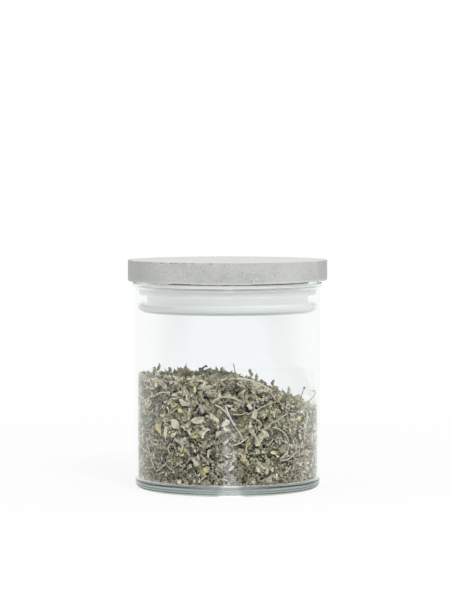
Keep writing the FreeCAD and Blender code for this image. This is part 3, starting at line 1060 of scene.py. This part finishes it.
def addTint(piece, tone, hue, each, palest=0):
    # One (tone, hue, chance) colour for each bit, on all of its vertices. The first few can be made pale.
    values = np.stack([tone, hue, rng.random(len(tone)), np.ones(len(tone))], axis=-1)
    values[:palest, 0] = np.maximum(values[:palest, 0], 1.1)
    addValues(piece, "leafMix", np.repeat(values, each, axis=0), "FLOAT_COLOR", "color")
    return piece


def wallBits(count, depths):
    # Places over the wall: any angle, any height under the heap's edge, packed from the glass inwards.
    degrees = rng.uniform(-180, 180, count)
    a = np.radians(degrees)
    share = rng.random(count)
    height = herb["floor"] + 0.4 + share * (edgeHeight(a) - herb["floor"] - 0.4)
    depth = rng.uniform(*depths, count)
    return wallPath(degrees, height, depth), share, a


def wallLeaves():
    # Leaves at the wall: larger towards the top, finer and paler towards the floor, and paler on the right as
    # painted light from the right.
    h = herb
    count = h["wallLeaves"]
    centre, share, a = wallBits(count, h["wallDepths"])
    size = rng.lognormal(0.0, 0.42, count) * (1.15 + 1.75 * share**0.8)
    length = np.minimum(np.clip(size * 1.5, *h["wallLength"]), 3.0 + 14 * (1 - share))
    width = length * rng.uniform(0.25, 0.72, count)
    lean = rng.uniform(0.15, 0.95, count)
    clearStems(centre, length, lean)
    # paler towards the floor; the share that grows towards the right is painted light from the right
    paler = (1 - share) * (0.05 + 0.1 * np.clip(np.sin(a), 0, 1))
    tone = rng.beta(*h["wallTone"], count) + 0.06 + 0.02 * share + paler
    return centre, outward(a, 0.15), lean, length, width, tone, rng.random(count)


def topLeaves():
    # Leaves over the top of the heap, spread evenly over its disc.
    h = herb
    count = h["topLeaves"]
    radius = (h["wall"] - 0.6) * np.sqrt(rng.random(count))
    a = rng.uniform(0, 2 * math.pi, count)
    x, y = radius * np.cos(a), radius * np.sin(a)
    z = herbHeight(x, y) + rng.uniform(-2.6, -0.1, count)
    facing = np.stack([0.35 * (x > 5), np.zeros(count), np.ones(count)], axis=-1)
    length = np.clip(rng.lognormal(1.2, 0.36, count), *h["topLength"])
    width = length * rng.uniform(0.25, 0.7, count)
    lean = rng.uniform(0.1, 0.4, count)
    tone = rng.beta(*h["topTone"], count) + 0.17
    return np.stack([x, y, z], axis=-1), facing, lean, length, width, tone, rng.random(count)


def listedLeaves():
    degrees, height, length, width, tone, hue = np.array(wallLeafList).T
    facing = outward(np.radians(degrees), 0.0)
    centre = wallPath(degrees, height, herb["listedLeafDepth"])
    return centre, facing, np.full(len(degrees), 0.1), length, width, tone, hue


def makeLeaves():
    # All leaves of the heap, in four pieces by the quarter of the wall that they are nearest to.
    sets = [wallLeaves(), topLeaves(), listedLeaves()]
    *shape, tone, hue = [np.concatenate(part) for part in zip(*sets)]
    quarter = np.floor((offFront(shape[0]) + 45) % 360 / 90).astype(int)
    pieces = []
    for index, name in enumerate(("front", "right", "back", "left")):
        chosen = quarter == index
        points, quads, uv, each = flakes(*[part[chosen] for part in shape], 6, 4, 1.0)
        piece = addHerb(f"herb_leaves_{name}", points, [quads], uv)
        pieces.append(addTint(piece, tone[chosen], hue[chosen], each))
    return pieces


def makeCrumbs():
    # Small bits at the wall, more of them low down.
    h = herb
    count = h["crumbs"]
    centre, share, a = wallBits(count, h["crumbDepths"])
    share = np.where(rng.random(count) < 0.6, share**2.2, share)
    centre[:, 2] = h["floor"] + 0.2 + share * (edgeHeight(a) - h["floor"] - 0.2)
    length = np.clip(rng.lognormal(0.05, 0.35, count), *h["crumbLength"])
    lean = rng.uniform(0.2, 1.0, count)
    clearStems(centre, length, lean)
    points, quads, uv, each = flakes(centre, outward(a, 0.2), lean, length, length * 0.62, 3, 3, 1.3)
    piece = addHerb("herb_crumbs", points, [quads], uv)
    return addTint(piece, rng.beta(*h["crumbTone"], count), rng.random(count), each)


def makeProudLeaves():
    # Leaves that stand above the heap, each along its own lean in a plane across the view.
    x, z, lean, length, width, tone = np.array(proudLeafList).T
    lean = np.radians(lean)
    centre = np.stack([x, np.full(len(x), herb["standY"]), z], axis=-1)
    along = np.stack([np.sin(lean), np.zeros(len(x)), np.cos(lean)], axis=-1)
    facing = np.tile([0.0, -1.0, 0.1], (len(x), 1))
    bits = (centre, facing, np.full(len(x), 0.15), length, width)
    points, quads, uv, each = flakes(*bits, 6, 4, 0.7, along)
    piece = addHerb("herb_proud_leaves", points, [quads], uv)
    return addTint(piece, tone + 0.12, np.full(len(x), 0.2), each)


stemPlaces = np.array([[-0.5, -0.18, 0.18, 0.5]])  # control points along a stem, as shares of its length


def wallStems():
    # Gentle arcs along the wall: each turns by its bend on the way, in arc length across and height.
    h = herb
    count = h["wallStems"]
    degrees = rng.uniform(-180, 180, count)
    edge = edgeHeight(np.radians(degrees))
    height = h["floor"] + 1 + rng.random(count) * (edge - h["floor"] - 2)
    length = np.clip(rng.lognormal(1.85, 0.5, count), *h["wallStemLength"])[:, None]
    heading = rng.uniform(-0.9, 0.9, count) + math.pi * (rng.random(count) < 0.5)
    bend = rng.normal(size=count)[:, None] * 0.55
    turn = heading[:, None] + bend * stemPlaces * 2
    across = length * stemPlaces * np.cos(turn)
    upward = length * stemPlaces * np.sin(turn) + length * 0.25 * bend * (stemPlaces**2 * 4)
    level = np.minimum(height[:, None] + upward, edge[:, None] - 0.3)
    depth = rng.uniform(0.2, 1.9, (count, 1)) + np.abs(rng.normal(size=(count, 4))) * 0.8
    paths = wallPath(degrees[:, None] + np.degrees(across / h["edge"]), level, depth)
    return paths, rng.uniform(0.4, 0.8, count)


def topStems():
    # Stems lying on the heap, pulled in where they would reach the wall.
    h = herb
    count = h["topStems"]
    radius = (h["wall"] - 3) * np.sqrt(rng.random(count))
    a = rng.uniform(0, 2 * math.pi, count)
    middle = np.stack([radius * np.cos(a), radius * np.sin(a)], axis=-1)
    heading = rng.uniform(0, 2 * math.pi, count)
    length = np.clip(rng.lognormal(2.0, 0.5, count), *h["topStemLength"])
    turn = heading[:, None] + rng.normal(size=(count, 1)) * 0.5 * stemPlaces * 2
    way = np.stack([np.cos(turn), np.sin(turn)], axis=-1)
    flat = middle[:, None] + (length[:, None] * stemPlaces)[..., None] * way
    reach = np.linalg.norm(flat, axis=-1, keepdims=True)
    flat *= np.minimum(1, (h["wall"] - 1.2) / np.maximum(reach, 1e-6))
    level = herbHeight(flat[..., 0], flat[..., 1]) + rng.uniform(-1.2, 0.6, (count, 1))
    level = level + rng.normal(size=(count, 4)) * 0.5
    return np.concatenate([flat, level[..., None]], axis=-1), rng.uniform(0.4, 0.8, count)


def makeStems():
    # The listed stems at the wall, those above the heap, and the chance ones.
    listed = np.array([stem[:4] for stem in wallStemList])
    atWall = wallPath(listed[..., 0], listed[..., 1], np.full(listed.shape[:2], herb["listedStemDepth"]))
    above = np.array([[(x, stem[4], z) for x, z in stem[:4]] for stem in proudStemList])
    sets = [
        (atWall, np.array([stem[4] for stem in wallStemList]) * 1.15),
        (above, np.array([stem[5] for stem in proudStemList])),
        wallStems(),
        topStems(),
    ]
    paths, thick = [np.concatenate(part) for part in zip(*sets)]
    points, quads, ends, uv, each = stems(paths, thick)
    piece = addHerb("herb_stems", points, [quads, ends], uv, smooth=True)
    count = len(paths)
    return addTint(piece, rng.beta(*herb["stemTone"], count), rng.random(count), each, len(wallStemList))


def makeLeafMaterial():
    # Colour by each bit's tone, an odd hue for a few, a pale midrib and side veins on the UV map, mottled.
    material, tree, place = newMaterial("driedLeaf")
    tone, hue, chance = channelsOf(tree, reading(tree, "leafMix", "Color"))
    mask = grain(tree, place, 1500.0, 420.0, 0.9, 0.8)
    colour = ramp(tree, compute(tree, "ADD", tone, spread(tree, mask[0], 0.2, 0.8, -0.3, 0.3)), herb["leaf"])
    colour = mixColours(tree, 1.0, colour, ramp(tree, hue, herb["hues"], "CONSTANT"), "MULTIPLY")
    across = axesOf(tree, addNode(tree, "ShaderNodeUVMap", uv_map="leaf").outputs[0])
    off = gap(tree, across[1], 0.5)
    rib = spread(tree, off, 0.015, 0.06, 1.0, 0.0)
    slant = compute(tree, "SUBTRACT", times(tree, across[0], 9.0), times(tree, off, 7.0))
    side = gap(tree, compute(tree, "FRACT", slant), 0.5)
    side = times(tree, spread(tree, side, 0.04, 0.14, 1.0, 0.0), 0.45)
    rim = spread(tree, off, 0.44, 0.52, 0.0, 0.5)
    vein = compute(tree, "MAXIMUM", compute(tree, "MAXIMUM", rib, side), rim)
    vein = times(tree, vein, spread(tree, chance, 0.2, 0.9, 0.1, 0.55))
    colour = mixColours(tree, vein, colour, herb["veins"])
    normal = bumped(tree, compute(tree, "ADD", mask[0], times(tree, vein, 0.8)), 0.6, 0.00025)
    others = {"Specular IOR Level": 0.3, "Sheen Weight": 0.12}
    finish(tree, principled(tree, colour, spread(tree, mask[0], 0.2, 0.8, 0.65, 0.95), normal, others))
    return material


def makeStemMaterial():
    # Pale straw with darker streaks along the stem, mottled.
    material, tree, place = newMaterial("driedStem")
    tone = channelsOf(tree, reading(tree, "leafMix", "Color"))[0]
    uv = addNode(tree, "ShaderNodeUVMap", uv_map="leaf").outputs[0]
    long = addNode(tree, "ShaderNodeMapping", {0: uv, "Scale": (3.0, 14.0, 1.0)}).outputs[0]
    streak = addNode(tree, "ShaderNodeTexNoise", {"Vector": long, "Scale": 2.0, "Detail": 2.0}).outputs[0]
    mask = grain(tree, place, 1400.0, 260.0, 0.7, 0.9)
    shade = compute(tree, "ADD", tone, spread(tree, streak, 0.3, 0.7, -0.14, 0.14))
    shade = compute(tree, "ADD", shade, spread(tree, mask[0], 0.3, 0.7, -0.1, 0.1))
    roughness = spread(tree, mask[1], 0.3, 0.7, 0.55, 0.8)
    normal = bumped(tree, streak, 0.4, 0.0002)
    others = {"Specular IOR Level": 0.35}
    finish(tree, principled(tree, ramp(tree, shade, herb["straw"]), roughness, normal, others))
    return material


def makeBedMaterial():
    # Painted shade: dark mottling that stands in for the crumbs in shade behind the leaves.
    material, tree, place = newMaterial("herbShade")
    mask = grain(tree, place, 1100.0, 300.0, 1.0, 0.9)
    roughness = spread(tree, mask[1], 0.3, 0.7, 0.8, 1.0)
    normal = bumped(tree, mask[0], 0.9, 0.0008)
    others = {"Specular IOR Level": 0.2}
    finish(tree, principled(tree, ramp(tree, mask[0], herb["shadeBed"]), roughness, normal, others))
    return material


makeBed().data.materials.append(makeBedMaterial())
leafMaterial = makeLeafMaterial()
for piece in [*makeLeaves(), makeCrumbs(), makeProudLeaves()]:
    piece.data.materials.append(leafMaterial)
makeStems().data.materials.append(makeStemMaterial())
print("herb made")
